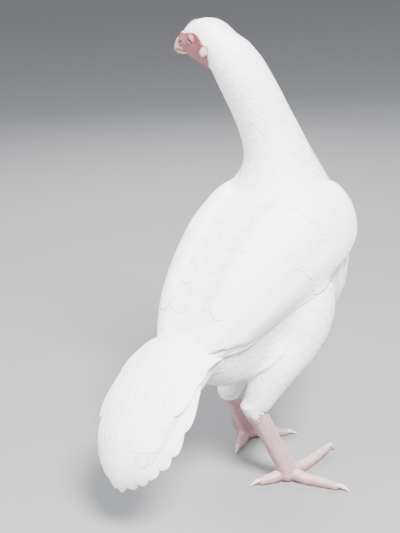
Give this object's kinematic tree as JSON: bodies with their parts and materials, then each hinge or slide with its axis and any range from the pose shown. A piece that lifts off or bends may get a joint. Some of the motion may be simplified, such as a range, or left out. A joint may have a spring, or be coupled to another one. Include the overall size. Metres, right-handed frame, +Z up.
{
  "type": "heera aseel hen, still life-size model",
  "caption": "White Heera Aseel hen standing with her head turned over her left shoulder, as a life-size still model.",
  "frame": {"origin": "on the floor, under the middle of the hen's bounding box", "axes": "+Z up, -Y the way her body faces, +X her left side"},
  "size_m": [0.2564, 0.3966, 0.5769],
  "materials": {
    "plumage": "matte",
    "face_skin": "satin",
    "lobe_skin": "satin",
    "leg_skin": "satin",
    "horn": "satin",
    "eye": "gloss"
  },
  "bodies": {
    "root": {"beak_lower": "horn", "beak_upper": "horn", "claw_hind_left": "horn", "claw_hind_right": "horn", "claw_inner_left": "horn", "claw_inner_right": "horn", "claw_middle_left": "horn", "claw_middle_right": "horn", "claw_outer_left": "horn", "claw_outer_right": "horn", "comb": "face_skin", "earlobe_left": "lobe_skin", "earlobe_right": "lobe_skin", "eye_left": "eye", "eye_right": "eye", "foot_left": "leg_skin", "foot_right": "leg_skin", "head": "plumage", "neck": "plumage", "shank_left": "leg_skin", "shank_right": "leg_skin", "tail": "plumage", "thigh_left": "plumage", "thigh_right": "plumage", "torso": "plumage", "wing_left": "plumage", "wing_right": "plumage"}
  },
  "joints": []
}
